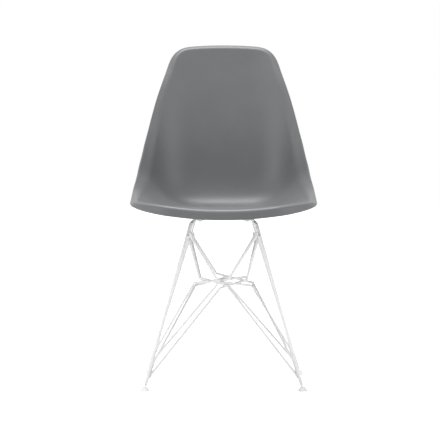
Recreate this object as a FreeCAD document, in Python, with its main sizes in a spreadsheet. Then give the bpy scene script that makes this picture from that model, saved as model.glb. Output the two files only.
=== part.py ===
import FreeCAD, Part
import Sketcher
import math
import os
from FreeCAD import Placement, Rotation, Vector

# Side chair: one moulded plastic shell on a welded wire base with four
# self-levelling glides. Millimetres, z up, the front edge towards -y, the
# origin on the floor under the middle of the chair.

doc = FreeCAD.newDocument("shell_chair")
sheet = doc.addObject("Spreadsheet::Sheet", "Sizes")

# Stations along the seat and back, on the sitter's side: distance back and
# height above the rails of the middle line, then of the side's edge, half the
# width, and how late the surface rises between the two.
stations = [
    ("front", -286, 31, -262, 65, 206, 2.1),
    ("crest", -230, 37.2, -214, 54.5, 225.5, 2.5),
    ("thigh", -145, 33, -136, 59, 227.5, 3.5),
    ("forward", -55, 21, -51, 80, 219.3, 4),
    ("hollow", 30, 16.5, 20, 100, 211, 4),
    ("sitting", 100, 17.5, 57, 118, 204.6, 4),
    ("hip", 142, 27, 77.5, 134, 200.2, 4),
    ("bend", 163, 51, 91, 149, 196.3, 3.8),
    ("lumbar", 183, 118, 112, 180, 190.7, 3.4),
    ("waist", 197, 203, 135, 220, 183.3, 3),
    ("shoulder", 218, 285, 172, 294, 166, 2.7),
    ("upper", 242, 366, 210, 368, 149.5, 2.6),
    ("crown", 259, 428.3, 237, 422.8, 161, 2.6),
]

sizes = [
    ("shell_wall", 5.0),
    ("front_share", 1.44),
    ("corner_wide", 82),
    ("front_corner_deep", 85),
    ("front_corner_power", 2.06),
    ("front_bow", 24),
    ("top_corner_deep", 130),
    ("top_corner_power", 2.57),
    ("top_bow", 7.8),
    ("front_roll_length", 31),
    ("front_roll_angle", 80),
    ("side_roll_length", 19.7),
    ("side_roll_angle", 42),
    ("top_roll_length", 16.5),
    ("top_roll_angle", 50),
    ("roll_bent_share", 0.55),
    ("rod_radius", 4.25),
    ("rod_bend", 12),
    ("brace_radius", 3.15),
    ("brace_bend", 9),
    ("weld_gap", 0.3),
    ("foot_front_x", 193),
    ("foot_front_y", -217),
    ("foot_rear_x", 192.5),
    ("foot_rear_y", 173),
    ("ball_height", 6.6),
    ("rod_start", 9.5),
    ("rail_height", 412),
    ("rail_front_x", 79.3),
    ("rail_front_y", -113.3),
    ("rail_rear_x", 68.1),
    ("rail_rear_y", 72.2),
    ("mid_height", 250.2),
    ("mid_y", -11.4),
    ("elbow_x", 73.8),
    ("elbow_spread", 3.3),
    ("run_depth", 78),
    ("pair_spacing", 8.2),
    ("front_turn_x", 14.4),
    ("rear_turn_x", 19.4),
    ("centre_turn_x", 9),
    ("corner_setback", 1.4),
    ("corner_weld_front", 385),
    ("corner_weld_rear", 370.5),
    ("corner_reach_front", 14.4),
    ("corner_reach_rear", 12.2),
    ("corner_drop", 11),
    ("centre_weld_front", 378.5),
    ("centre_weld_rear", 361.8),
    ("lap_top", 80),
    ("lap_bottom", 45),
    ("hook_height", 34),
    ("hook_reach_front", 12.5),
    ("hook_reach_rear", 9.5),
    ("hook_inset", 11),
    ("mount_front", 15),
    ("mount_rear", 16),
    ("mount_inset", 20.5),
    ("plate_radius", 11),
    ("plate_thick", 3),
    ("spacer_radius", 9),
    ("spacer_thick", 4),
    ("boss_radius", 11),
    ("insert_radius", 4.5),
    ("insert_length", 6),
    ("screw_radius", 2.5),
    ("screw_reach", 12),
    ("head_radius", 4.8),
    ("head_height", 2.8),
    ("head_edge", 1.2),
    ("socket_width", 3),
    ("socket_depth", 1.6),
    ("running_gap", 0.05),
    ("plate_play", 0.3),
    ("ball_radius", 4.2),
    ("neck_radius", 2),
    ("glide_radius", 13),
    ("glide_rim", 2),
    ("glide_height", 11),
    ("glide_neck", 7.4),
    ("glide_shoulder", 7.5),
    ("glide_mouth", 5.4),
    ("lip_rise", 2),
    ("glide_corner", 0.6),
]

measures = ("y", "rise", "side_y", "side_rise", "half", "bowl")
for name, *values in stations:
    sizes += [(name + "_" + measure, value) for measure, value in zip(measures, values)]

for row, (name, value) in enumerate(sizes, 1):
    sheet.set("A%d" % row, name)
    sheet.set("B%d" % row, str(value))
    sheet.setAlias("B%d" % row, name)
doc.recompute()


def size(name):
    return float(sheet.get(name))


# The seat shell

def spline(xs, ys):
    """Natural cubic curve through the given points."""
    n = len(xs)
    step = [xs[i + 1] - xs[i] for i in range(n - 1)]
    ratio = [0.0] * n
    rest = [0.0] * n
    for i in range(1, n - 1):
        change = (ys[i + 1] - ys[i]) / step[i] - (ys[i] - ys[i - 1]) / step[i - 1]
        pivot = 2 * (xs[i + 1] - xs[i - 1]) - step[i - 1] * ratio[i - 1]
        ratio[i] = step[i] / pivot
        rest[i] = (3 * change - step[i - 1] * rest[i - 1]) / pivot
    bend = [0.0] * n
    for i in range(n - 2, -1, -1):
        bend[i] = rest[i] - ratio[i] * bend[i + 1]

    def value(x):
        i = 0
        while i < n - 2 and x > xs[i + 1]:
            i += 1
        t = x - xs[i]
        rise = (ys[i + 1] - ys[i]) / step[i] - step[i] * (bend[i + 1] + 2 * bend[i]) / 3
        return ys[i] + t * (rise + t * (bend[i] + t * (bend[i + 1] - bend[i]) / 3 / step[i]))

    return value


names = [station[0] for station in stations]
run = [0.0]
for first, second in zip(names, names[1:]):
    run.append(run[-1] + math.hypot(size(second + "_y") - size(first + "_y"),
                                    size(second + "_rise") - size(first + "_rise")))
total = run[-1]
middle_y, middle_rise, side_y, side_rise, half_at, bowl_at = [
    spline(run, [size(name + "_" + measure) for name in names]) for measure in measures]
front_end = (size("front_corner_power"), size("front_corner_deep"))
top_end = (size("top_corner_power"), size("top_corner_deep"))
wide = size("corner_wide")
rail_height = size("rail_height")
front_bow = size("front_bow")
top_bow = size("top_bow")
front_share = size("front_share")
bent_share = size("roll_bent_share")
rolls = [(size(end + "_roll_length"), math.radians(size(end + "_roll_angle")))
         for end in ("front", "side", "top")]


def dished(x, t):
    """Point of the dished sheet before its edge is rolled over."""
    part = abs(x) / half_at(t)
    t += front_bow * part ** 2 * max(0, 1 - t / 300) ** 2
    t -= top_bow * part ** 2 * max(0, 1 - (total - t) / 300) ** 2
    lift = part ** bowl_at(t)
    return Vector(x, middle_y(t) + (side_y(t) - middle_y(t)) * lift,
                  rail_height + middle_rise(t) + (side_rise(t) - middle_rise(t)) * lift)


def edge_nearness(x, t):
    """1 on the outline, less inside it."""
    power, deep = front_end if t < total / 2 else top_end
    end = max(0, 1 - min(t, total - t) / deep)
    side = max(0, 1 - (half_at(t) - abs(x)) / wide)
    return (end ** power + side ** power) ** (1 / power)


def place_on_sheet(u, t):
    """Grid position u, t moved inside the rounded corners."""
    power, deep = front_end if t < total / 2 else top_end
    near = min(t, total - t)
    x = half_at(t) * abs(u)
    inside = half_at(t) - wide
    if near < deep and x > inside:
        end = 1 - near / deep
        side = (x - inside) / wide
        near = deep - deep * end * (1 - side ** power / 2) ** (1 / power)
        t = near if t < total / 2 else total - near
        x = half_at(t) - wide + wide * side * (1 - end ** power / 2) ** (1 / power)
    return math.copysign(x, u), t


def shell_point(u, t, depth):
    """Point of the finished shell, the given depth under the sitter's side."""
    x, t = place_on_sheet(u, t)
    e = 0.05
    point = dished(x, t)
    across = (dished(x + e, t) - dished(x - e, t)) * (0.5 / e)
    along = (dished(x, t + e) - dished(x, t - e)) * (0.5 / e)
    normal = across.cross(along).normalize()
    near = edge_nearness(x, t)
    slope_x = (edge_nearness(x + e, t) - edge_nearness(x - e, t)) / (2 * e)
    slope_t = (edge_nearness(x, t + e) - edge_nearness(x, t - e)) / (2 * e)
    slope = math.hypot(slope_x, slope_t)
    if slope > 1e-9:
        outward = (across * (slope_x / slope) + along * (slope_t / slope)).normalize()
        front = max(0, -slope_t / slope) ** front_share
        top = max(0, slope_t / slope) ** 2
        share = (front, 1 - front - top, top)
        length = sum(part * roll[0] for part, roll in zip(share, rolls))
        angle = sum(part * roll[1] for part, roll in zip(share, rolls))
        reach = 1 - max(0, 1 - near) / slope / length
        if reach > 0:
            steps = 12
            piece = reach * length / steps
            for k in range(steps):
                turn = angle * min(1, (k + 0.5) / steps * reach / bent_share)
                point += outward * ((math.cos(turn) - 1) * piece)
                point -= normal * (math.sin(turn) * piece)
            turn = angle * min(1, reach / bent_share)
            normal = normal * math.cos(turn) + outward * math.sin(turn)
    return point - normal * depth


def crowded(count, share):
    """Even steps from 0 to 1, drawn together towards both ends."""
    even = [i / (count - 1) for i in range(count)]
    return [f - share * math.sin(2 * math.pi * f) / (2 * math.pi) for f in even]


def skin(depth):
    grid = [[shell_point(2 * f - 1, total * g, depth) for g in crowded(73, 0.7)]
            for f in crowded(47, 0.6)]
    surface = Part.BSplineSurface()
    surface.interpolate(grid)
    return surface


wall = size("shell_wall")
upper = skin(0)
lower = skin(wall)
faces = [upper.toShape(), lower.toShape()]
u0, u1, v0, v1 = upper.bounds()
a0, a1, b0, b1 = lower.bounds()
for first, second in ((upper.uIso(u0), lower.uIso(a0)), (upper.uIso(u1), lower.uIso(a1)),
                      (upper.vIso(v0), lower.vIso(b0)), (upper.vIso(v1), lower.vIso(b1))):
    faces.append(Part.makeRuledSurface(first.toShape(), second.toShape()))
hull = Part.makeShell(faces)
hull.sewShape()
hull = Part.makeSolid(hull)
if hull.Volume < 0:
    hull.reverse()
moulding = doc.addObject("Part::Feature", "moulding")
moulding.Shape = hull
moulding.Placement = Placement()


# Where things sit on the wire base

rod = size("rod_radius")
brace = size("brace_radius")
gap = size("weld_gap")


def leg(side, end):
    """Axis of one leg: the middle of its ball and the bend into the rail."""
    low = Vector(side * size("foot_%s_x" % end), size("foot_%s_y" % end), size("ball_height"))
    high = Vector(side * size("rail_%s_x" % end), size("rail_%s_y" % end), size("rail_height"))
    return low, high


def on_leg(side, end, z):
    low, high = leg(side, end)
    return low + (high - low) * ((z - low.z) / (high.z - low.z))


def leg_way(side, end):
    low, high = leg(side, end)
    return (high - low).normalize()


def beside_leg(side, end, z, towards):
    """Axis point of a wire lying along the leg, on the side it comes from."""
    point = on_leg(side, end, z)
    way = leg_way(side, end)
    off = towards - point
    off = (off - way * off.dot(way)).normalize()
    return point + off * (rod + brace + gap)


def against_leg(side, end, z, source):
    """Where a wire coming from source stops, its cut end close to the leg."""
    point = on_leg(side, end, z)
    off = (source - point).normalize()
    lean = abs(off.dot(leg_way(side, end)))
    return point + off * ((rod + gap + brace * lean) / math.sqrt(1 - lean ** 2))


def bent(points, radius):
    """Wire of straight lines through the points, its corners rounded."""
    edges = []
    start = points[0]
    for before, corner, after in zip(points, points[1:], points[2:]):
        a = (before - corner).normalize()
        b = (after - corner).normalize()
        half = a.getAngle(b) / 2
        room = min((before - corner).Length, (after - corner).Length) * 0.44
        back = min(radius / math.tan(half), room)
        turn = back * math.tan(half)
        middle = corner + (a + b).normalize() * (turn / math.sin(half) - turn)
        edges.append(Part.makeLine(start, corner + a * back))
        edges.append(Part.Arc(corner + a * back, middle, corner + b * back).toShape())
        start = corner + b * back
    edges.append(Part.makeLine(start, points[-1]))
    return Part.Wire(edges)


def rod_object(name, points, radius, bend):
    """A round bar of the given radius size, bent through the points."""
    path = doc.addObject("Part::Feature", name + "_path")
    path.Shape = bent(points, size(bend))
    path.Placement = Placement()
    ring = doc.addObject("Part::Circle", name + "_ring")
    ring.setExpression("Radius", "Sizes." + radius)
    ring.Placement = Placement(points[0], Rotation(Vector(0, 0, 1), points[1] - points[0]))
    bar = doc.addObject("Part::Sweep", name)
    bar.Sections = [ring]
    bar.Spine = (path, ["Edge%d" % (i + 1) for i in range(len(path.Shape.Edges))])
    bar.Solid = True
    bar.Frenet = False
    bar.Label = name
    return bar


nodes = []
side_names = ((-1, "left"), (1, "right"))

for side, side_name in side_names:
    points = []
    for end in ("front", "rear"):
        low, high = leg(side, end)
        start = low + leg_way(side, end) * size("rod_start")
        points += [start, high] if end == "front" else [high, start]
    nodes.append(rod_object("side_frame_" + side_name, points, "rod_radius", "rod_bend"))


# Brace wires. A corner wire goes from its foot to the elbow on its own side,
# runs level to the other end of the chair and rises to the far leg there. A
# centre wire turns level near the middle, runs to the far side's elbow and
# rises to the leg on that side. Where two runs cross, one lies over the other.

mid_y = size("mid_y")
low_level = size("mid_height")
high_level = low_level + 2 * brace + gap
run_slope = size("run_depth") / size("elbow_x")
run_length = math.hypot(size("run_depth"), size("elbow_x"))
spacing = size("pair_spacing") * run_length / size("run_depth")

for side, side_name in side_names:
    for way, end, other in ((-1, "front", "rear"), (1, "rear", "front")):
        over = side * way < 0
        level = high_level if over else low_level
        elbow = size("elbow_x") + (size("elbow_spread") if over else 0)
        turn = size(other + "_turn_x")
        first = Vector(side * elbow, mid_y, level)
        second = Vector(-side * turn, mid_y - way * run_slope * (elbow + turn), level)
        weld = on_leg(-side, other, size("corner_weld_" + other))
        last = weld + Vector(side * size("corner_reach_" + other), -way * 2, -size("corner_drop"))
        points = [beside_leg(side, end, size("lap_bottom"), first),
                  beside_leg(side, end, size("lap_top"), first),
                  first, second, last,
                  against_leg(-side, other, weld.z, last)]
        name = "corner_wire_%s_%s" % (end, side_name)
        nodes.append(rod_object(name, points, "brace_radius", "brace_bend"))

        # The centre wire's run lies inside a corner wire's, on the same level.
        elbow -= spacing
        turn = size("centre_turn_x")
        setback = size("corner_setback")
        first = Vector(side * turn, mid_y + way * run_slope * (elbow + turn), level)
        second = Vector(-side * (elbow - setback), mid_y + way * run_slope * setback, level)
        hook = on_leg(side, end, size("hook_height") + 1.5)
        hook += Vector(-side * size("hook_reach_" + end), -way * size("hook_inset"), 0)
        points = [against_leg(side, end, size("hook_height"), hook), hook, first, second,
                  against_leg(-side, end, size("centre_weld_" + end), second)]
        name = "centre_wire_%s_%s" % (end, side_name)
        nodes.append(rod_object(name, points, "brace_radius", "brace_bend"))


# Pieces drawn in PartDesign bodies

def span(*parts):
    """A sum of named sizes, as a number and as an expression."""
    value = 0.0
    words = []
    for part in parts:
        sign = -1 if part.startswith("-") else 1
        value += sign * size(part.lstrip("-"))
        words.append(("- " if sign < 0 else "+ ") + "Sizes." + part.lstrip("-"))
    return value, "0 " + " ".join(words)


def new_body(name):
    body = doc.addObject("PartDesign::Body", name)
    body.Label = name
    return body


def plane_sketch(body, name, role):
    sketch = body.newObject("Sketcher::SketchObject", name)
    plane = [item for item in body.Origin.OriginFeatures if item.Role == role][0]
    sketch.AttachmentSupport = [(plane, "")]
    sketch.MapMode = "FlatFace"
    return sketch


def bind(sketch, constraint, expression):
    sketch.setExpression("Constraints[%d]" % sketch.addConstraint(constraint), expression)


def add_circle(sketch, radius):
    """Circle about the sketch's origin, its radius a span of sizes."""
    value, expression = span(*radius)
    circle = sketch.addGeometry(Part.Circle(Vector(), Vector(0, 0, 1), value))
    sketch.addConstraint(Sketcher.Constraint("Coincident", circle, 3, -1, 1))
    bind(sketch, Sketcher.Constraint("Radius", circle, value), expression)


def fix_corner(sketch, line, corner):
    """Hold the start of a line at the given spans of sizes from the origin."""
    for kind, relation, reach in (("DistanceX", "PointOnObject", corner[0]),
                                  ("DistanceY", "PointOnObject", corner[1])):
        axis = -2 if kind == "DistanceX" else -1
        if reach:
            value, expression = span(*reach)
            bind(sketch, Sketcher.Constraint(kind, -1, 1, line, 1, value), expression)
        else:
            sketch.addConstraint(Sketcher.Constraint(relation, line, 1, axis))


def closed_outline(sketch, corners):
    """Closed line figure whose corners are pairs of spans."""
    spots = [Vector(span(*x)[0], span(*y)[0], 0) for x, y in corners]
    lines = []
    for start, finish in zip(spots, spots[1:] + spots[:1]):
        lines.append(sketch.addGeometry(Part.LineSegment(start, finish)))
    for line, after in zip(lines, lines[1:] + lines[:1]):
        sketch.addConstraint(Sketcher.Constraint("Coincident", line, 2, after, 1))
    for line, corner in zip(lines, corners):
        fix_corner(sketch, line, corner)
    return lines


def turned(body, corners):
    """Revolve an outline in the XZ plane about the vertical axis."""
    sketch = plane_sketch(body, body.Name + "_outline", "XZ_Plane")
    closed_outline(sketch, corners)
    solid = body.newObject("PartDesign::Revolution", body.Name + "_turning")
    solid.Profile = sketch
    solid.ReferenceAxis = (sketch, ["V_Axis"])
    solid.Angle = 360
    doc.recompute()
    return solid


def padded(body, sketch, length):
    pad = body.newObject("PartDesign::Pad", body.Name + "_pad")
    pad.Profile = sketch
    pad.setExpression("Length", span(*length)[1])
    doc.recompute()
    return pad


# Mounts: a plate welded to the rail, a screw from below, a rubber spacer and
# a threaded insert in a boss moulded under the seat.

def mount_place(side, end):
    """Middle of one mounting hole at the rail's height, and its turn."""
    front = leg(side, "front")[1]
    rear = leg(side, "rear")[1]
    way = (rear - front).normalize()
    if end == "front":
        spot = front + way * size("mount_front")
    else:
        spot = rear - way * size("mount_rear")
    inward = Vector(-side * way.y, side * way.x, 0)
    turn = math.degrees(math.atan2(inward.y, inward.x))
    return spot + inward * size("mount_inset"), Rotation(Vector(0, 0, 1), turn)


plate_low = size("rail_height") - size("plate_thick") / 2
plate_top = size("rail_height") + size("plate_thick") / 2
boss_low = plate_top + size("spacer_thick")
boss_tools = []
bore_tools = []

for side, side_name in side_names:
    for end in ("front", "rear"):
        tail = "_%s_%s" % (end, side_name)
        spot, turn = mount_place(side, end)

        body = new_body("mount_plate" + tail)
        sketch = plane_sketch(body, body.Name + "_outline", "XY_Plane")
        radius = size("plate_radius")
        edge = size("mount_inset") - rod - gap
        curve = Part.ArcOfCircle(Part.Circle(Vector(), Vector(0, 0, 1), radius),
                                 -math.pi / 2, math.pi / 2)
        arc = sketch.addGeometry(curve)
        corners = [Vector(0, radius, 0), Vector(-edge, radius, 0),
                   Vector(-edge, -radius, 0), Vector(0, -radius, 0)]
        sides = [sketch.addGeometry(Part.LineSegment(a, b))
                 for a, b in zip(corners, corners[1:])]
        sketch.addConstraint(Sketcher.Constraint("Tangent", arc, 2, sides[0], 1))
        sketch.addConstraint(Sketcher.Constraint("Coincident", sides[0], 2, sides[1], 1))
        sketch.addConstraint(Sketcher.Constraint("Coincident", sides[1], 2, sides[2], 1))
        sketch.addConstraint(Sketcher.Constraint("Tangent", sides[2], 2, arc, 1))
        sketch.addConstraint(Sketcher.Constraint("Coincident", arc, 3, -1, 1))
        sketch.addConstraint(Sketcher.Constraint("Horizontal", sides[0]))
        sketch.addConstraint(Sketcher.Constraint("Vertical", sides[1]))
        sketch.addConstraint(Sketcher.Constraint("Horizontal", sides[2]))
        bind(sketch, Sketcher.Constraint("Radius", arc, radius), "Sizes.plate_radius")
        bind(sketch, Sketcher.Constraint("DistanceX", sides[1], 1, -1, 1, edge),
             "Sizes.mount_inset - Sizes.rod_radius - Sizes.weld_gap")
        add_circle(sketch, ("screw_radius", "plate_play"))
        padded(body, sketch, ("plate_thick",))
        body.Placement = Placement(Vector(spot.x, spot.y, plate_low), turn)
        nodes.append(body)

        body = new_body("spacer" + tail)
        sketch = plane_sketch(body, body.Name + "_outline", "XY_Plane")
        add_circle(sketch, ("spacer_radius",))
        add_circle(sketch, ("screw_radius", "plate_play"))
        padded(body, sketch, ("spacer_thick",))
        body.Placement = Placement(Vector(spot.x, spot.y, plate_top), turn)
        nodes.append(body)

        body = new_body("insert" + tail)
        sketch = plane_sketch(body, body.Name + "_outline", "XY_Plane")
        add_circle(sketch, ("insert_radius",))
        add_circle(sketch, ("screw_radius", "running_gap"))
        padded(body, sketch, ("insert_length",))
        body.Placement = Placement(Vector(spot.x, spot.y, boss_low), turn)
        nodes.append(body)

        body = new_body("mount_screw" + tail)
        turned(body, [((), ("-head_height",)),
                      (("head_radius", "-head_edge"), ("-head_height",)),
                      (("head_radius",), ("-head_height", "head_edge")),
                      (("head_radius",), ()),
                      (("screw_radius",), ()),
                      (("screw_radius",), ("screw_reach",)),
                      ((), ("screw_reach",))])
        socket = body.newObject("PartDesign::SubtractivePrism", body.Name + "_socket")
        socket.Polygon = 6
        socket.setExpression("Circumradius", "Sizes.socket_width / 1.732")
        socket.setExpression("Height", "Sizes.socket_depth")
        socket.setExpression("Placement.Base.z", "-Sizes.head_height")
        doc.recompute()
        body.Placement = Placement(Vector(spot.x, spot.y, plate_low), turn)
        nodes.append(body)

        # The boss reaches the middle of the seat's wall above it.
        slices = [shell_point(spot.x / half_at(t), t, wall / 2)
                  for t in [total * k / 400 for k in range(20, 240)]]
        nearest = min(slices, key=lambda p: abs(p.y - spot.y))
        boss = doc.addObject("Part::Cylinder", "boss" + tail)
        boss.setExpression("Radius", "Sizes.boss_radius")
        boss.Height = nearest.z - boss_low
        boss.Placement = Placement(Vector(spot.x, spot.y, boss_low), turn)
        boss_tools.append(boss)
        bore = doc.addObject("Part::Cylinder", "bore" + tail)
        bore.setExpression("Radius", "Sizes.insert_radius + Sizes.running_gap")
        bore.setExpression("Height", "Sizes.insert_length + 0.5")
        bore.Placement = Placement(Vector(spot.x, spot.y, boss_low), turn)
        bore_tools.append(bore)

moulded = doc.addObject("Part::MultiFuse", "moulded_shell")
moulded.Shapes = [moulding] + boss_tools
bores = doc.addObject("Part::MultiFuse", "insert_bores")
bores.Shapes = bore_tools
shell = doc.addObject("Part::Cut", "seat_shell")
shell.Base = moulded
shell.Tool = bores
shell.Label = "seat_shell"
nodes.append(shell)


# Feet: a ball stud under each leg and a glide that tilts on it

for side, side_name in side_names:
    for end in ("front", "rear"):
        tail = "_%s_%s" % (end, side_name)
        centre = leg(side, end)[0]
        way = Rotation(Vector(0, 0, 1), leg_way(side, end))

        ball = doc.addObject("Part::Sphere", "ball" + tail)
        ball.setExpression("Radius", "Sizes.ball_radius")
        ball.Placement = Placement(centre, way)
        neck = doc.addObject("Part::Cylinder", "neck" + tail)
        neck.setExpression("Radius", "Sizes.neck_radius")
        neck.setExpression("Height", "Sizes.rod_start")
        neck.Placement = Placement(centre, way)
        stud = doc.addObject("Part::Fuse", "ball_stud" + tail)
        stud.Base = ball
        stud.Tool = neck
        stud.Label = stud.Name
        nodes.append(stud)

        body = new_body("bell" + tail)
        turned(body, [((), ()),
                      (("glide_radius", "-glide_corner"), ()),
                      (("glide_radius",), ("glide_corner",)),
                      (("glide_radius",), ("glide_rim",)),
                      (("glide_neck", "glide_corner"), ("glide_shoulder",)),
                      (("glide_neck",), ("glide_height",)),
                      ((), ("glide_height",))])
        body.Placement = Placement(Vector(centre.x, centre.y, 0), Rotation())
        hollow = doc.addObject("Part::Sphere", "hollow" + tail)
        hollow.setExpression("Radius", "Sizes.ball_radius + Sizes.running_gap")
        hollow.Placement = Placement(centre, Rotation())
        mouth = doc.addObject("Part::Cone", "mouth" + tail)
        mouth.setExpression("Radius1", "sqrt((Sizes.ball_radius + Sizes.running_gap)^2"
                            " - Sizes.lip_rise^2)")
        mouth.setExpression("Radius2", "Sizes.glide_mouth")
        mouth.setExpression("Height", "Sizes.glide_height - Sizes.ball_height - Sizes.lip_rise")
        mouth.Placement = Placement(centre + Vector(0, 0, size("lip_rise")), Rotation())
        socket = doc.addObject("Part::MultiFuse", "socket" + tail)
        socket.Shapes = [hollow, mouth]
        glide = doc.addObject("Part::Cut", "glide" + tail)
        glide.Base = body
        glide.Tool = socket
        glide.Label = glide.Name
        nodes.append(glide)


# Check every object and write one file for each node

doc.recompute()
for item in doc.Objects:
    if "Invalid" in item.State or "Error" in item.State:
        raise RuntimeError("%s did not build" % item.Name)

os.makedirs("parts", exist_ok=True)
for node in nodes:
    if not node.Shape.isValid() or len(node.Shape.Solids) != 1:
        raise RuntimeError("%s is not one sound solid" % node.Label)
    node.Shape.exportStep("parts/%s.step" % node.Label)
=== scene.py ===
import bpy
import math
from mathutils import Matrix, Vector


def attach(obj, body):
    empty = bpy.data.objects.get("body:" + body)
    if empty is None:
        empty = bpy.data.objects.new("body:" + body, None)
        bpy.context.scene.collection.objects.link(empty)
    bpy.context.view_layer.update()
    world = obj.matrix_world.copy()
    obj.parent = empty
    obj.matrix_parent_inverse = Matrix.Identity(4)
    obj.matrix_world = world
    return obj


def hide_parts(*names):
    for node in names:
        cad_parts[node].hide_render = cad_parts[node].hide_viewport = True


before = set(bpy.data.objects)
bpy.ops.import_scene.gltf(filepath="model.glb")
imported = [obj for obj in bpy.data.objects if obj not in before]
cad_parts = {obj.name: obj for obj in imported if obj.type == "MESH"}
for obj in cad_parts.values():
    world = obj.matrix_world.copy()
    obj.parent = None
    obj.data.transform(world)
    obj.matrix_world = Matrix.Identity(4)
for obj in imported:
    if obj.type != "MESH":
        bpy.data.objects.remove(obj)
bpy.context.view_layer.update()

mm = 0.001
samePoint = 0.01 * mm
onAxis = 0.1 * mm
bevelAngle = math.radians(50)
# degrees between two faces from which their edge is shaded as a crease
crease = {"shell": 60, "bar": 50, "fitting": 35, "bead": 60}


# small helpers

def clearSelection():
    bpy.ops.object.select_all(action="DESELECT")


def nameIt(name):
    # names the active object and its mesh
    thing = bpy.context.object
    thing.name = name
    thing.data.name = name
    return thing


def choose(thing):
    # makes an object the active one and the only one selected
    clearSelection()
    thing.select_set(True)
    bpy.context.view_layer.objects.active = thing


def applyModifier(thing, kind, **settings):
    choose(thing)
    modifier = thing.modifiers.new(kind.lower(), kind)
    for key, value in settings.items():
        setattr(modifier, key, value)
    bpy.ops.object.modifier_apply(modifier=modifier.name)


def smooth(thing, angle):
    choose(thing)
    bpy.ops.object.shade_smooth_by_angle(angle=math.radians(angle))


def joinAll(things, name):
    clearSelection()
    for thing in things:
        thing.select_set(True)
    bpy.context.view_layer.objects.active = things[0]
    bpy.ops.object.join()
    return nameIt(name)


def placed(thing, where, angle=0):
    # moves a piece that was made at the origin to its place, inside its mesh
    thing.data.transform(Matrix.Translation(where) @ Matrix.Rotation(angle, 4, "Z"))
    thing.data.update()


def copied(thing, name):
    copy = thing.copy()
    copy.data = thing.data.copy()
    copy.name = name
    copy.data.name = name
    bpy.context.collection.objects.link(copy)
    return copy


# materials

# the part of a noise's range that is spread over colour and gloss
noiseRange = (0.3, 0.7)
noiseDetail = {"cloud": 4, "grain": 2}

# a finish varies from dark to light and between two values of roughness in broad clouds,
# and a fine grain raises its surface; cloud and grain are the scales of the two noises
finishes = {
    "shellGrey": {"dark": (0.126, 0.129, 0.133), "light": (0.137, 0.140, 0.144),
                  "rough": (0.41, 0.49), "metal": 0, "cloud": 14, "grain": 1400,
                  "grainHeight": 0.00012, "bump": 0.35},
    "powderWhite": {"dark": (0.85, 0.85, 0.845), "light": (0.89, 0.89, 0.885),
                    "rough": (0.30, 0.40), "metal": 0, "cloud": 14, "grain": 700,
                    "grainHeight": 0.00010, "bump": 0.35},
    "glideWhite": {"dark": (0.84, 0.84, 0.835), "light": (0.88, 0.88, 0.875),
                   "rough": (0.38, 0.48), "metal": 0, "cloud": 14, "grain": 900,
                   "grainHeight": 0.00008, "bump": 0.35},
    "spacerRubber": {"dark": (0.115, 0.116, 0.118), "light": (0.150, 0.151, 0.153),
                     "rough": (0.72, 0.86), "metal": 0, "cloud": 14, "grain": 1100,
                     "grainHeight": 0.00010, "bump": 0.35},
    "zincPlate": {"dark": (0.52, 0.53, 0.54), "light": (0.66, 0.66, 0.65),
                  "rough": (0.24, 0.38), "metal": 1, "cloud": 220, "grain": 1800,
                  "grainHeight": 0.00006, "bump": 0.3},
    "turnedBrass": {"dark": (0.60, 0.44, 0.20), "light": (0.74, 0.56, 0.28),
                    "rough": (0.26, 0.40), "metal": 1, "cloud": 220, "grain": 1800,
                    "grainHeight": 0.00006, "bump": 0.3},
}


def newMaterial(name):
    material = bpy.data.materials.new(name)
    material.use_nodes = True
    nodes = material.node_tree.nodes
    return material, nodes, material.node_tree.links, nodes["Principled BSDF"]


def noiseNode(nodes, links, coords, scale, detail):
    noise = nodes.new("ShaderNodeTexNoise")
    noise.inputs["Scale"].default_value = scale
    noise.inputs["Detail"].default_value = detail
    links.new(coords.outputs["Object"], noise.inputs["Vector"])
    return noise.outputs["Fac"]


def spread(nodes, links, value, low, high):
    ramp = nodes.new("ShaderNodeMapRange")
    ramp.inputs["From Min"].default_value = noiseRange[0]
    ramp.inputs["From Max"].default_value = noiseRange[1]
    ramp.inputs["To Min"].default_value = low
    ramp.inputs["To Max"].default_value = high
    links.new(value, ramp.inputs["Value"])
    return ramp.outputs["Result"]


def tinted(nodes, links, value, dark, light):
    ramp = nodes.new("ShaderNodeValToRGB")
    for element, position, colour in zip(ramp.color_ramp.elements, noiseRange, (dark, light)):
        element.position = position
        element.color = (*colour, 1)
    links.new(value, ramp.inputs["Fac"])
    return ramp.outputs["Color"]


def bumped(nodes, links, shader, height, strength, distance):
    bump = nodes.new("ShaderNodeBump")
    bump.inputs["Strength"].default_value = strength
    bump.inputs["Distance"].default_value = distance
    links.new(height, bump.inputs["Height"])
    links.new(bump.outputs["Normal"], shader.inputs["Normal"])


def newFinish(name):
    look = finishes[name]
    material, nodes, links, shader = newMaterial(name)
    coords = nodes.new("ShaderNodeTexCoord")
    cloud = noiseNode(nodes, links, coords, look["cloud"], noiseDetail["cloud"])
    grain = noiseNode(nodes, links, coords, look["grain"], noiseDetail["grain"])
    links.new(tinted(nodes, links, cloud, look["dark"], look["light"]), shader.inputs["Base Color"])
    links.new(spread(nodes, links, cloud, *look["rough"]), shader.inputs["Roughness"])
    shader.inputs["Metallic"].default_value = look["metal"]
    bumped(nodes, links, shader, grain, look["bump"], look["grainHeight"])
    return material


finish = {name: newFinish(name) for name in finishes}
print("materials ready")


# the moulded seat and back, in millimetres until it becomes a mesh

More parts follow.
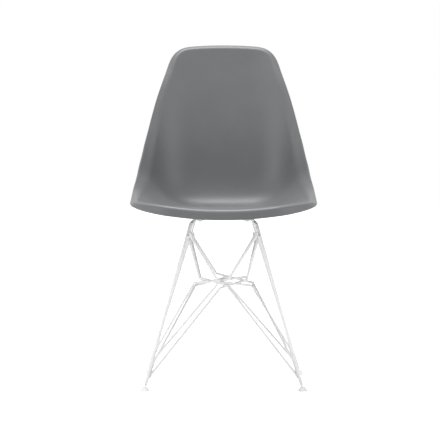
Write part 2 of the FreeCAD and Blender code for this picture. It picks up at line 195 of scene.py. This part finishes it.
shell = {
    # distance back and height of the middle line, then of the side edge,
    # half the width, and how late the surface rises between the two
    "stations": [
        (-286, 443, -262, 477, 206, 2.1),
        (-230, 449.2, -214, 466.5, 225.5, 2.5),
        (-145, 445, -136, 471, 227.5, 3.5),
        (-55, 433, -51, 492, 219.3, 4),
        (30, 428.5, 20, 512, 211, 4),
        (100, 429.5, 57, 530, 204.6, 4),
        (142, 439, 77.5, 546, 200.2, 4),
        (163, 463, 91, 561, 196.3, 3.8),
        (183, 530, 112, 592, 190.7, 3.4),
        (197, 615, 135, 632, 183.3, 3),
        (218, 697, 172, 706, 166, 2.7),
        (242, 778, 210, 780, 149.5, 2.6),
        (259, 840.3, 237, 834.8, 161, 2.6),
    ],
    "wall": 5,
    # how far the middle of the front and of the top edge stands out, and how far in that fades
    "frontBow": 24,
    "topBow": 7.8,
    "bowFade": 300,
    # power and depth of the rounded corners at the front and at the top, and their width
    "frontCorner": (2.06, 85),
    "topCorner": (2.57, 130),
    "cornerWide": 82,
    # length and angle of the rolled edge at the front, the sides and the top, the share
    # of its length that is bent, and the powers by which front and top give way to the sides
    "rolls": [(31, 80), (19.7, 42), (16.5, 50)],
    "bentShare": 0.55,
    "rollSteps": 12,
    "frontShare": 1.44,
    "topShare": 2,
    # points of the grid, how much they crowd near the edges, and the step and the
    # smallest slope used where the surface is differentiated
    "across": 97,
    "along": 151,
    "acrossCrowding": 0.6,
    "alongCrowding": 0.7,
    "probe": 0.05,
    "noSlope": 1e-9,
    "rimRound": 2.2,
    "rimSteps": 4,
}


def naturalCurve(xs, ys):
    # a natural cubic curve through the given points
    n = len(xs)
    step = [xs[i + 1] - xs[i] for i in range(n - 1)]
    ratio = [0.0] * n
    rest = [0.0] * n
    for i in range(1, n - 1):
        change = (ys[i + 1] - ys[i]) / step[i] - (ys[i] - ys[i - 1]) / step[i - 1]
        pivot = 2 * (xs[i + 1] - xs[i - 1]) - step[i - 1] * ratio[i - 1]
        ratio[i] = step[i] / pivot
        rest[i] = (3 * change - step[i - 1] * rest[i - 1]) / pivot
    bend = [0.0] * n
    for i in range(n - 2, -1, -1):
        bend[i] = rest[i] - ratio[i] * bend[i + 1]

    def value(x):
        i = 0
        while i < n - 2 and x > xs[i + 1]:
            i += 1
        t = x - xs[i]
        rise = (ys[i + 1] - ys[i]) / step[i] - step[i] * (bend[i + 1] + 2 * bend[i]) / 3
        return ys[i] + t * (rise + t * (bend[i] + t * (bend[i + 1] - bend[i]) / 3 / step[i]))

    return value


stations = shell["stations"]
runLength = [0.0]
for first, second in zip(stations, stations[1:]):
    runLength.append(runLength[-1] + math.hypot(second[0] - first[0], second[1] - first[1]))
total = runLength[-1]
middleY, middleZ, sideY, sideZ, halfAt, bowlAt = [
    naturalCurve(runLength, [s[k] for s in stations]) for k in range(6)]


def dished(x, t):
    # the point at x to the side and t along the middle line, before the edge is rolled
    part = abs(x) / halfAt(t)
    fade = shell["bowFade"]
    t += shell["frontBow"] * part ** 2 * max(0, 1 - t / fade) ** 2
    t -= shell["topBow"] * part ** 2 * max(0, 1 - (total - t) / fade) ** 2
    lift = part ** bowlAt(t)
    return Vector((x, middleY(t) + (sideY(t) - middleY(t)) * lift,
                   middleZ(t) + (sideZ(t) - middleZ(t)) * lift))


def edgeNearness(x, t):
    # 1 on the outline with its rounded corners, less inside it
    power, deep = shell["frontCorner"] if t < total / 2 else shell["topCorner"]
    end = max(0, 1 - min(t, total - t) / deep)
    side = max(0, 1 - (halfAt(t) - abs(x)) / shell["cornerWide"])
    return (end ** power + side ** power) ** (1 / power)


def placeOnSheet(u, t):
    # moves a grid point inside the rounded corners
    power, deep = shell["frontCorner"] if t < total / 2 else shell["topCorner"]
    wide = shell["cornerWide"]
    near = min(t, total - t)
    x = halfAt(t) * abs(u)
    inside = halfAt(t) - wide
    if near < deep and x > inside:
        end = 1 - near / deep
        side = (x - inside) / wide
        near = deep - deep * end * (1 - side ** power / 2) ** (1 / power)
        t = near if t < total / 2 else total - near
        x = halfAt(t) - wide + wide * side * (1 - end ** power / 2) ** (1 / power)
    return math.copysign(x, u), t


def shellPoint(u, t, depth=0):
    # a point of the finished shell, at a depth into the wall from its upper face
    x, t = placeOnSheet(u, t)
    step = shell["probe"]
    point = dished(x, t)
    across = (dished(x + step, t) - dished(x - step, t)) / (2 * step)
    along = (dished(x, t + step) - dished(x, t - step)) / (2 * step)
    normal = across.cross(along).normalized()
    near = edgeNearness(x, t)
    slopeX = (edgeNearness(x + step, t) - edgeNearness(x - step, t)) / (2 * step)
    slopeT = (edgeNearness(x, t + step) - edgeNearness(x, t - step)) / (2 * step)
    slope = math.hypot(slopeX, slopeT)
    if slope > shell["noSlope"]:
        outward = (across * (slopeX / slope) + along * (slopeT / slope)).normalized()
        front = max(0, -slopeT / slope) ** shell["frontShare"]
        top = max(0, slopeT / slope) ** shell["topShare"]
        share = (front, 1 - front - top, top)
        length = sum(part * roll[0] for part, roll in zip(share, shell["rolls"]))
        angle = math.radians(sum(part * roll[1] for part, roll in zip(share, shell["rolls"])))
        reach = 1 - max(0, 1 - near) / slope / length
        if reach > 0:
            steps = shell["rollSteps"]
            piece = reach * length / steps
            for k in range(steps):
                turn = angle * min(1, (k + 0.5) / steps * reach / shell["bentShare"])
                point += outward * ((math.cos(turn) - 1) * piece)
                point -= normal * (math.sin(turn) * piece)
            turn = angle * min(1, reach / shell["bentShare"])
            normal = normal * math.cos(turn) + outward * math.sin(turn)
    return point - normal * depth


def crowded(count, share):
    # numbers from 0 to 1 that lie closer together towards both ends
    even = [i / (count - 1) for i in range(count)]
    return [f - share * math.sin(2 * math.pi * f) / (2 * math.pi) for f in even]


clearSelection()
bpy.ops.mesh.primitive_grid_add(x_subdivisions=shell["across"] - 1, y_subdivisions=shell["along"] - 1,
                                size=2, location=(0, 0, 0))
seat = nameIt("seatShell")
acrossSteps = crowded(shell["across"], shell["acrossCrowding"])
alongSteps = crowded(shell["along"], shell["alongCrowding"])
for vertex in seat.data.vertices:
    i = round((vertex.co.x + 1) / 2 * (shell["across"] - 1))
    j = round((vertex.co.y + 1) / 2 * (shell["along"] - 1))
    vertex.co = shellPoint(2 * acrossSteps[i] - 1, total * alongSteps[j]) * mm
seat.data.update()
applyModifier(seat, "SOLIDIFY", thickness=shell["wall"] * mm, offset=-1, use_even_offset=True)
applyModifier(seat, "BEVEL", width=shell["rimRound"] * mm, segments=shell["rimSteps"],
              limit_method="ANGLE", angle_limit=bevelAngle)
smooth(seat, crease["shell"])
print("shell shaped")


# where the legs run, in millimetres

base = {
    "foot": {"front": (193, -217), "rear": (192.5, 173)},
    "ballHeight": 6.6,
    "rail": {"front": (79.3, -113.3), "rear": (68.1, 72.2)},
    "railHeight": 412,
    "rodStart": 9.5,
    "rodRadius": 4.25,
    "rodBend": 12,
    "braceRadius": 3.15,
    "braceBend": 9,
    "weldGap": 0.3,
    # the most of a straight run that a bend takes up
    "bendRoom": 0.44,
    "bendSteps": 12,
    "ringSteps": 8,
    # a cut end is eased by this much, or by the radius divided by easePart where that is less
    "easeMost": 0.6,
    "easePart": 5,
}
rod = base["rodRadius"]
brace = base["braceRadius"]
weldGap = base["weldGap"]
sides = ((-1, "left"), (1, "right"))


def legEnds(side, end):
    # the middle of the ball under a leg, and the corner where the leg turns into the rail
    footX, footY = base["foot"][end]
    railX, railY = base["rail"][end]
    return (Vector((side * footX, footY, base["ballHeight"])),
            Vector((side * railX, railY, base["railHeight"])))


def legWay(side, end):
    low, high = legEnds(side, end)
    return (high - low).normalized()


def onLeg(side, end, z):
    low, high = legEnds(side, end)
    return low + (high - low) * ((z - low.z) / (high.z - low.z))


def besideLeg(side, end, z, towards):
    # where the middle of a wire runs that lies along a leg
    point = onLeg(side, end, z)
    way = legWay(side, end)
    off = towards - point
    off = (off - way * off.dot(way)).normalized()
    return point + off * (rod + brace + weldGap)


def againstLeg(side, end, z, source):
    # where the middle of a wire stops that comes from source and ends on a leg
    point = onLeg(side, end, z)
    off = (source - point).normalized()
    lean = abs(off.dot(legWay(side, end)))
    return point + off * ((rod + weldGap + brace * lean) / math.sqrt(1 - lean ** 2))


def roundedPath(points, radius):
    # the points with an arc in place of each corner
    path = [points[0]]
    for before, corner, after in zip(points, points[1:], points[2:]):
        a = (before - corner).normalized()
        b = (after - corner).normalized()
        half = a.angle(b) / 2
        room = min((before - corner).length, (after - corner).length) * base["bendRoom"]
        back = min(radius / math.tan(half), room)
        turn = back * math.tan(half)
        middle = corner + (a + b).normalized() * (turn / math.sin(half))
        start = corner + a * back - middle
        finish = corner + b * back - middle
        for k in range(base["bendSteps"] + 1):
            path.append(middle + start.slerp(finish, k / base["bendSteps"]))
    path.append(points[-1])
    return path


def bentBar(name, points, radius, bend):
    # a bar with slightly eased cut ends, swept along its bent line
    path = roundedPath(points, bend)
    ease = min(base["easeMost"], radius / base["easePart"])
    first = (path[1] - path[0]).normalized()
    last = (path[-1] - path[-2]).normalized()
    path.insert(1, path[0] + first * ease)
    path.insert(-1, path[-1] - last * ease)
    curve = bpy.data.curves.new(name, "CURVE")
    curve.dimensions = "3D"
    curve.bevel_depth = radius * mm
    curve.bevel_resolution = base["ringSteps"]
    curve.use_fill_caps = True
    line = curve.splines.new("POLY")
    line.points.add(len(path) - 1)
    for place, spot in zip(line.points, path):
        place.co = (*(spot * mm), 1)
    for k in (0, -1):
        line.points[k].radius = 1 - ease / radius
    bar = bpy.data.objects.new(name, curve)
    bpy.context.collection.objects.link(bar)
    choose(bar)
    bpy.ops.object.convert(target="MESH")
    bar = nameIt(name)
    smooth(bar, crease["bar"])
    return bar


for side, sideName in sides:
    points = []
    for end in ("front", "rear"):
        low, high = legEnds(side, end)
        start = low + legWay(side, end) * base["rodStart"]
        points += [start, high] if end == "front" else [high, start]
    bar = bentBar("sideBar_" + sideName, points, rod, base["rodBend"])
    bar.data.materials.append(finish["powderWhite"])
    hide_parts("side_frame_" + sideName)
    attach(bar, "chair")
print("side frames bent")


braces = {
    # the wires cross the middle of the base at midY in two levels
    "midY": -11.4,
    "lowLevel": 250.2,
    "elbowX": 73.8,
    "elbowSpread": 3.3,
    "runDepth": 78,
    "pairSpacing": 8.2,
    "turnX": {"front": 14.4, "rear": 19.4},
    "centreTurnX": 9,
    "setback": 1.4,
    # heights of the upper welds, and the last bend of a corner wire as seen from its weld
    "cornerWeld": {"front": 385, "rear": 370.5},
    "centreWeld": {"front": 378.5, "rear": 361.8},
    "cornerReach": {"front": 14.4, "rear": 12.2},
    "cornerShift": 2,
    "cornerDrop": 11,
    # heights between which a corner wire lies along the leg, and of the beads there
    "lap": (45, 80),
    "lapBeads": (48, 59, 75),
    # the hook by which a centre wire starts from the leg
    "hookHeight": 34,
    "hookRise": 1.5,
    "hookReach": {"front": 12.5, "rear": 9.5},
    "hookInset": 11,
}
highLevel = braces["lowLevel"] + 2 * brace + weldGap
runSlope = braces["runDepth"] / braces["elbowX"]
spacing = braces["pairSpacing"] * math.hypot(braces["runDepth"], braces["elbowX"]) / braces["runDepth"]
buttWelds = []
lapWelds = []

for side, sideName in sides:
    for way, end, other in ((-1, "front", "rear"), (1, "rear", "front")):
        # the corner wire: along the leg, over to the middle and up to the leg diagonally opposite
        over = side * way < 0
        level = highLevel if over else braces["lowLevel"]
        elbow = braces["elbowX"] + (braces["elbowSpread"] if over else 0)
        turn = braces["turnX"][other]
        first = Vector((side * elbow, braces["midY"], level))
        second = Vector((-side * turn, braces["midY"] - way * runSlope * (elbow + turn), level))
        weld = onLeg(-side, other, braces["cornerWeld"][other])
        last = weld + Vector((side * braces["cornerReach"][other], -way * braces["cornerShift"],
                              -braces["cornerDrop"]))
        low, high = braces["lap"]
        stop = againstLeg(-side, other, weld.z, last)
        points = [besideLeg(side, end, low, first), besideLeg(side, end, high, first),
                  first, second, last, stop]
        bar = bentBar("cornerBrace_%s_%s" % (end, sideName), points, brace, base["braceBend"])
        bar.data.materials.append(finish["powderWhite"])
        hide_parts("corner_wire_%s_%s" % (end, sideName))
        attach(bar, "chair")
        buttWelds.append((stop, weld))
        for z in braces["lapBeads"]:
            lapWelds.append((besideLeg(side, end, z, first), onLeg(side, end, z), legWay(side, end)))

        # the centre wire: from the leg to the middle and up to the other leg of this end
        elbow -= spacing
        turn = braces["centreTurnX"]
        setback = braces["setback"]
        first = Vector((side * turn, braces["midY"] + way * runSlope * (elbow + turn), level))
        second = Vector((-side * (elbow - setback), braces["midY"] + way * runSlope * setback, level))
        hook = onLeg(side, end, braces["hookHeight"] + braces["hookRise"])
        hook += Vector((-side * braces["hookReach"][end], -way * braces["hookInset"], 0))
        start = againstLeg(side, end, braces["hookHeight"], hook)
        stop = againstLeg(-side, end, braces["centreWeld"][end], second)
        bar = bentBar("centreBrace_%s_%s" % (end, sideName), [start, hook, first, second, stop],
                      brace, base["braceBend"])
        bar.data.materials.append(finish["powderWhite"])
        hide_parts("centre_wire_%s_%s" % (end, sideName))
        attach(bar, "chair")
        buttWelds.append((start, onLeg(side, end, braces["hookHeight"])))
        buttWelds.append((stop, onLeg(-side, end, braces["centreWeld"][end])))
print("brace wires bent")


# lighting, floor and camera

lamps = {
    "overhead": {"place": (-0.3, 0.6, 4.4), "aim": (0, 0, 0.4), "size": 2.2, "watts": 170},
    "leftSide": {"place": (-3.4, -2.2, 1.3), "aim": (0, 0, 0.45), "size": 2.0, "watts": 42},
    "rightSide": {"place": (3.4, -2.2, 1.3), "aim": (0, 0, 0.45), "size": 2.0, "watts": 38},
}
for name, lamp in lamps.items():
    light = bpy.data.lights.new(name, "AREA")
    light.shape = "SQUARE"
    light.size = lamp["size"]
    light.energy = lamp["watts"]
    holder = bpy.data.objects.new(name, light)
    holder.location = lamp["place"]
    aim = Vector(lamp["aim"]) - Vector(lamp["place"])
    holder.rotation_euler = aim.to_track_quat("-Z", "Y").to_euler()
    bpy.context.collection.objects.link(holder)

# the surround is plain white where it is seen or mirrored, and dimmer as a source of light
surround = {"glow": 0.56, "paper": 1.0}
world = bpy.data.worlds.new("studio")
bpy.context.scene.world = world
world.use_nodes = True
tree = world.node_tree
glow = tree.nodes["Background"]
paper = tree.nodes.new("ShaderNodeBackground")
for node, strength in ((glow, surround["glow"]), (paper, surround["paper"])):
    node.inputs["Color"].default_value = (1, 1, 1, 1)
    node.inputs["Strength"].default_value = strength
rays = tree.nodes.new("ShaderNodeLightPath")
seen = rays.outputs["Is Camera Ray"]
for ray in ("Is Glossy Ray", "Is Transmission Ray"):
    either = tree.nodes.new("ShaderNodeMath")
    either.operation = "MAXIMUM"
    tree.links.new(seen, either.inputs[0])
    tree.links.new(rays.outputs[ray], either.inputs[1])
    seen = either.outputs[0]
blend = tree.nodes.new("ShaderNodeMixShader")
tree.links.new(seen, blend.inputs["Fac"])
tree.links.new(glow.outputs["Background"], blend.inputs[1])
tree.links.new(paper.outputs["Background"], blend.inputs[2])
tree.links.new(blend.outputs["Shader"], tree.nodes["World Output"].inputs["Surface"])

# a matt floor that shows the camera near white, with a soft shadow under the chair
floorLook = {"size": 14, "colour": (0.80, 0.80, 0.80), "rough": 0.9, "shine": 0.1, "lift": 0.9}
clearSelection()
bpy.ops.mesh.primitive_plane_add(size=floorLook["size"], location=(0, 0, 0))
floor = nameIt("paleFloor")
material, nodes, links, shader = newMaterial("paleFloor")
shader.inputs["Base Color"].default_value = (*floorLook["colour"], 1)
shader.inputs["Roughness"].default_value = floorLook["rough"]
shader.inputs["Specular IOR Level"].default_value = floorLook["shine"]
rays = nodes.new("ShaderNodeLightPath")
lift = nodes.new("ShaderNodeMath")
lift.operation = "MULTIPLY"
lift.inputs[1].default_value = floorLook["lift"]
links.new(rays.outputs["Is Camera Ray"], lift.inputs[0])
shader.inputs["Emission Color"].default_value = (1, 1, 1, 1)
links.new(lift.outputs[0], shader.inputs["Emission Strength"])
floor.data.materials.append(material)

# the camera as solved from the photograph, with its focal length and shift in picture points
view = {
    "place": (0, -9.695, 1.04),
    "drop": 3.747,
    "picture": 440,
    "focal": 3900,
    "shift": -3.6,
    "film": 36,
    "farEnd": 200,
}
camera = bpy.data.cameras.new("photoView")
camera.lens = view["focal"] / view["picture"] * view["film"]
camera.sensor_width = view["film"]
camera.shift_x = view["shift"] / view["picture"]
camera.clip_end = view["farEnd"]
holder = bpy.data.objects.new("photoView", camera)
holder.location = view["place"]
holder.rotation_euler = (math.radians(90 - view["drop"]), 0, 0)
bpy.context.collection.objects.link(holder)
bpy.context.scene.camera = holder
bpy.context.scene.view_settings.view_transform = "Standard"
print("studio set")


turnSteps = 64


def turnedShape(name, profile):
    # spins a profile of radius and height pairs, in millimetres, about the upright axis
    mesh = bpy.data.meshes.new(name)
    mesh.from_pydata([(r * mm, 0, z * mm) for r, z in profile],
                     [(i, i + 1) for i in range(len(profile) - 1)], [])
    shape = bpy.data.objects.new(name, mesh)
    bpy.context.collection.objects.link(shape)
    choose(shape)
    bpy.ops.object.mode_set(mode="EDIT")
    bpy.ops.mesh.select_all(action="SELECT")
    bpy.ops.mesh.spin(steps=turnSteps, angle=2 * math.pi, center=(0, 0, 0), axis=(0, 0, 1))
    bpy.ops.mesh.select_all(action="SELECT")
    bpy.ops.mesh.remove_doubles(threshold=samePoint)
    bpy.ops.mesh.normals_make_consistent(inside=False)
    bpy.ops.object.mode_set(mode="OBJECT")
    return shape


# mounting tabs on the rails, and the bosses above them

mounts = {
    # distance along the rail from its corner, and from the rail to the screw
    "along": {"front": 15, "rear": 16},
    "inset": 20.5,
    "plateRadius": 11,
    "plateThick": 3,
    "plateSteps": 64,
    "plateEase": 0.5,
    "easeSteps": 2,
    "holeRadius": 2.8,
    "holeSteps": 40,
    "drillLength": 20,
    "spacerThick": 4,
    "bossRadius": 11,
    # out from the boss radius and up from its foot, then out from it and down from its top
    "bossFoot": [(-0.8, 0), (-0.2, 0.3), (0, 0.9)],
    "bossFlare": [(0, 7), (0.4, 5), (1.4, 3.5), (5, 0)],
    "boreRadius": 4.55,
    "boreDepth": 6.5,
    "boreMouth": 0.4,
    # where along the shell the place above a mount is looked for, in parts of its length
    "searchParts": 400,
    "searchRange": (20, 240),
}


def mountPlace(side, end):
    # the middle of a tab's hole, and the turn of the tab about the upright axis
    front = legEnds(side, "front")[1]
    rear = legEnds(side, "rear")[1]
    way = (rear - front).normalized()
    spot = front + way * mounts["along"]["front"]
    if end == "rear":
        spot = rear - way * mounts["along"]["rear"]
    inward = Vector((-side * way.y, side * way.x, 0))
    return spot + inward * mounts["inset"], math.atan2(inward.y, inward.x)


clearSelection()
radius = mounts["plateRadius"] * mm
edge = (mounts["inset"] - rod - weldGap) * mm
bpy.ops.mesh.primitive_circle_add(vertices=mounts["plateSteps"], radius=radius, fill_type="NGON",
                                  location=(0, 0, 0))
plate = nameIt("mountTab")
for vertex in plate.data.vertices:
    if vertex.co.x < -onAxis:
        vertex.co.x = -edge
        vertex.co.y = math.copysign(radius, vertex.co.y) if abs(vertex.co.y) > onAxis else 0
bpy.ops.object.mode_set(mode="EDIT")
bpy.ops.mesh.select_all(action="SELECT")
bpy.ops.mesh.remove_doubles(threshold=samePoint)
bpy.ops.mesh.extrude_region_move(TRANSFORM_OT_translate={"value": (0, 0, mounts["plateThick"] * mm)})
bpy.ops.mesh.select_all(action="SELECT")
bpy.ops.mesh.normals_make_consistent(inside=False)
bpy.ops.object.mode_set(mode="OBJECT")
clearSelection()
bpy.ops.mesh.primitive_cylinder_add(vertices=mounts["holeSteps"], radius=mounts["holeRadius"] * mm,
                                    depth=mounts["drillLength"] * mm, location=(0, 0, 0))
drill = nameIt("tabDrill")
applyModifier(plate, "BOOLEAN", object=drill, operation="DIFFERENCE", solver="EXACT")
bpy.data.objects.remove(drill)
applyModifier(plate, "BEVEL", width=mounts["plateEase"] * mm, segments=mounts["easeSteps"],
              limit_method="ANGLE", angle_limit=bevelAngle)
smooth(plate, crease["fitting"])
plate.data.materials.append(finish["powderWhite"])

bosses = []
plateLow = base["railHeight"] - mounts["plateThick"] / 2
bossLow = plateLow + mounts["plateThick"] + mounts["spacerThick"]
tabSeams = []
for side, sideName in sides:
    for end in ("front", "rear"):
        spot, turn = mountPlace(side, end)
        tail = "%s_%s" % (end, sideName)
        tab = copied(plate, "mountTab_" + tail)
        placed(tab, Vector((spot.x, spot.y, plateLow)) * mm, turn)
        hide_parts("mount_plate_" + tail)
        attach(tab, "chair")
        tabSeams.append((spot, turn))

        steps = [total * k / mounts["searchParts"] for k in range(*mounts["searchRange"])]
        slices = [shellPoint(spot.x / halfAt(t), t, shell["wall"] / 2) for t in steps]
        nearest = min(slices, key=lambda p: abs(p.y - spot.y))
        high = nearest.z - bossLow
        bossRadius = mounts["bossRadius"]
        bore = mounts["boreRadius"]
        mouth = mounts["boreMouth"]
        deep = mounts["boreDepth"]
        profile = [(0, deep), (bore, deep), (bore, mouth), (bore + mouth, 0)]
        profile += [(bossRadius + out, up) for out, up in mounts["bossFoot"]]
        profile += [(bossRadius + out, high - down) for out, down in mounts["bossFlare"]]
        profile.append((0, high))
        boss = turnedShape("boss", profile)
        placed(boss, Vector((spot.x, spot.y, bossLow)) * mm)
        smooth(boss, crease["fitting"])
        bosses.append(boss)
bpy.data.objects.remove(plate)
seat = joinAll([seat] + bosses, "seatShell")
seat.data.materials.append(finish["shellGrey"])
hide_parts("seat_shell")
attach(seat, "chair")
print("tabs and bosses made")


# weld beads: a collar where a bar ends on a leg, seams where one lies along it and at the tabs

beads = {
    # half sizes of a bead across, across and along
    "collar": (4.1, 4.1, 1.7),
    "lap": (1.7, 1.7, 6.5),
    "tab": (1.3, 1.3, 8.0),
    "collarSink": 0.4,
    "lapApart": 2.0,
    "tabApart": 1.3,
    "around": 20,
    "rings": 12,
}
clearSelection()
bpy.ops.mesh.primitive_uv_sphere_add(segments=beads["around"], ring_count=beads["rings"],
                                     radius=mm, location=(0, 0, 0))
drop = nameIt("weldDrop")
smooth(drop, crease["bead"])
allBeads = []


def addBead(spot, way, sizes):
    bead = copied(drop, "weldBead")
    turn = way.to_track_quat("Z", "Y").to_matrix().to_4x4()
    bead.data.transform(Matrix.Translation(spot * mm) @ turn @ Matrix.Diagonal((*sizes, 1)))
    allBeads.append(bead)


for bar, leg in buttWelds:
    towards = (bar - leg).normalized()
    addBead(bar - towards * beads["collarSink"], towards, beads["collar"])
for bar, leg, along in lapWelds:
    off = (bar - leg).normalized()
    across = off.cross(along).normalized()
    middle = leg + off * (rod + weldGap / 2)
    for sign in (-1, 1):
        addBead(middle + across * (sign * beads["lapApart"]), along, beads["lap"])
for spot, turn in tabSeams:
    inward = Vector((math.cos(turn), math.sin(turn), 0))
    along = Vector((-math.sin(turn), math.cos(turn), 0))
    corner = spot - inward * (mounts["inset"] - rod)
    for height in (-beads["tabApart"], beads["tabApart"]):
        addBead(corner + Vector((0, 0, height)), along, beads["tab"])
bpy.data.objects.remove(drop)
welds = joinAll(allBeads, "weldBeads")
welds.data.materials.append(finish["powderWhite"])
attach(welds, "chair")
print("welds laid")


# glides: a bell that clips over the ball of each foot

glide = {
    # radius and height, up the outside
    "outer": [(0, 0), (9, 0), (12.1, 0), (12.7, 0.2), (13, 0.8), (13, 1.7), (12.75, 2.3), (11.9, 3.2),
              (10.6, 4.5), (9.5, 5.7), (8.7, 6.9), (8.1, 8.1), (7.7, 9.3), (7.4, 10.2), (7.15, 10.75),
              (6.7, 11), (6.0, 11), (5.5, 10.75), (4.5, 9.5)],
    # the hollow around the ball, and how far its lip is above the ball's middle
    "ballSpace": 4.25,
    "lip": 2,
    "hollowSteps": 12,
}
lip = math.acos(glide["lip"] / glide["ballSpace"])
inner = []
for k in range(glide["hollowSteps"]):
    angle = lip + (math.pi - lip) * k / glide["hollowSteps"]
    inner.append((glide["ballSpace"] * math.sin(angle),
                  base["ballHeight"] + glide["ballSpace"] * math.cos(angle)))
inner.append((0, base["ballHeight"] - glide["ballSpace"]))
bell = turnedShape("glideBell", glide["outer"] + inner)
smooth(bell, crease["fitting"])
bell.data.materials.append(finish["glideWhite"])
for side, sideName in sides:
    for end in ("front", "rear"):
        footX, footY = base["foot"][end]
        foot = copied(bell, "glideBell_%s_%s" % (end, sideName))
        placed(foot, Vector((side * footX, footY, 0)) * mm)
        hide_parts("glide_%s_%s" % (end, sideName))
        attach(foot, "glide_%s_%s" % (end, sideName))
bpy.data.objects.remove(bell)
print("glides made")

# finishes for the CAD pieces that stay as they are; the replaced ones get the powder coat
bareFinish = {
    "spacer": "spacerRubber",
    "insert": "turnedBrass",
    "mount_screw": "zincPlate",
    "ball_stud": "zincPlate",
    "glide": "glideWhite",
}
for name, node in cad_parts.items():
    chosen = "powderWhite"
    for start, look in bareFinish.items():
        if name.startswith(start):
            chosen = look
    node.data.materials.clear()
    node.data.materials.append(finish[chosen])
print("finishes given")
